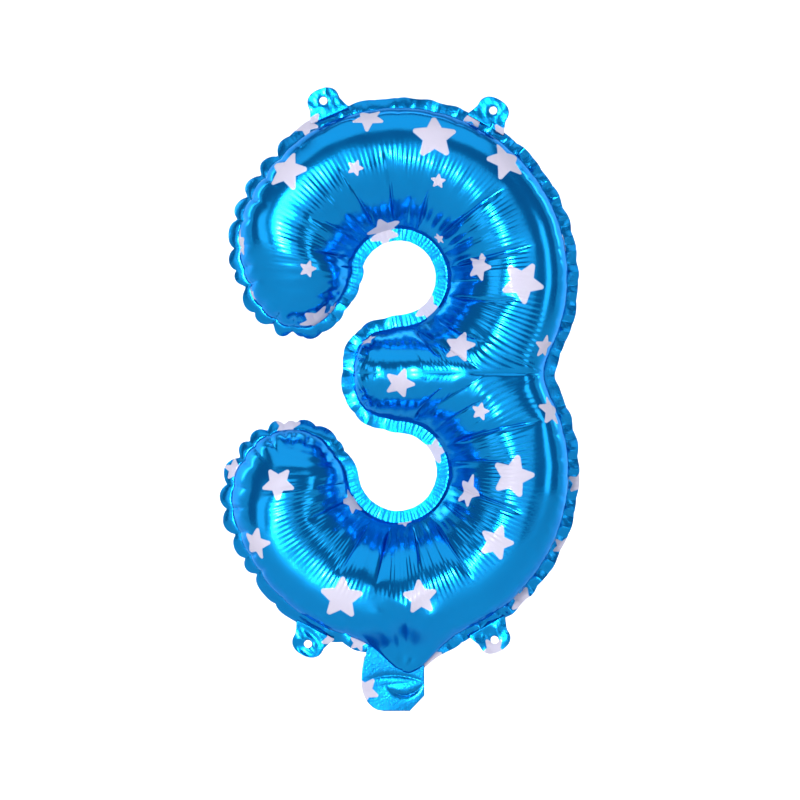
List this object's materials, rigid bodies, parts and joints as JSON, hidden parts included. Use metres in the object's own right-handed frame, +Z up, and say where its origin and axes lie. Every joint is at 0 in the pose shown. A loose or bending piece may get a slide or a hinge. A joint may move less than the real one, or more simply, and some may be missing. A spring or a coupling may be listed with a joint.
{
  "type": "foil number balloon",
  "caption": "Puffed foil balloon in the shape of the digit three, with a welded margin, punched hanging tabs, a flat filling tail and a self-closing film valve.",
  "frame": {"origin": "centre of the bounding box, in the plane of the welded seam", "axes": "+Z up the standing digit, the digit reads correctly from -Y, +X to its right, +Y is the back"},
  "size_m": [0.1994, 0.0666, 0.3423],
  "materials": {
    "foil_front": "mirror-bright metallised blue film with printed pale stars",
    "foil_back": "mirror-bright metallised blue film with printed pale stars",
    "foil_margin": "welded, crinkled metallised blue film",
    "foil_tab": "flat welded metallised blue film",
    "foil_tail": "metallised blue film, softly creased",
    "valve_film": "clear milky film"
  },
  "bodies": {
    "envelope": {"front_panel": "foil_front", "back_panel": "foil_back", "perimeter_seam": "foil_margin", "valve_neck_film": "valve_film", "valve_back_film": "valve_film"},
    "tab_top_left": {"tab_top_left": "foil_tab"},
    "tab_top_right": {"tab_top_right": "foil_tab"},
    "tab_bottom_left": {"tab_bottom_left": "foil_tab"},
    "tab_bottom_right": {"tab_bottom_right": "foil_tab"},
    "tail": {"tail_front_layer": "foil_tail", "tail_back_layer": "foil_tail", "tail_side_welds": "foil_tail", "tail_valve_front_film": "valve_film", "tail_valve_back_film": "valve_film"},
    "valve_flap": {"valve_front_film": "valve_film"}
  },
  "joints": [
    {"name": "tab_top_left_fold", "type": "hinge", "parent": "envelope", "child": "tab_top_left", "pos_m": [-0.03923, 0, 0.15773], "axis": [-0.9205, 0, -0.3907], "range_deg": [-100, 100], "stiffness_Nm_per_rad": 0.00005},
    {"name": "tab_top_right_fold", "type": "hinge", "parent": "envelope", "child": "tab_top_right", "pos_m": [0.04763, 0, 0.1528], "axis": [-0.8704, 0, 0.4924], "range_deg": [-100, 100], "stiffness_Nm_per_rad": 0.00005},
    {"name": "tab_bottom_left_fold", "type": "hinge", "parent": "envelope", "child": "tab_bottom_left", "pos_m": [-0.04717, 0, -0.12762], "axis": [0.887, 0, -0.4617], "range_deg": [-100, 100], "stiffness_Nm_per_rad": 0.00005},
    {"name": "tab_bottom_right_fold", "type": "hinge", "parent": "envelope", "child": "tab_bottom_right", "pos_m": [0.04838, 0, -0.12554], "axis": [0.866, 0, 0.5], "range_deg": [-100, 100], "stiffness_Nm_per_rad": 0.00005},
    {"name": "tail_fold", "type": "hinge", "parent": "envelope", "child": "tail", "pos_m": [-0.0039, 0, -0.1392], "axis": [1, 0, 0], "range_deg": [-100, 100], "stiffness_Nm_per_rad": 0.0002},
    {"name": "valve_opening", "type": "hinge", "parent": "envelope", "child": "valve_flap", "pos_m": [-0.0039, -0.00025, -0.1312], "axis": [1, 0, 0], "range_deg": [0, 5], "stiffness_Nm_per_rad": 0.0002}
  ]
}
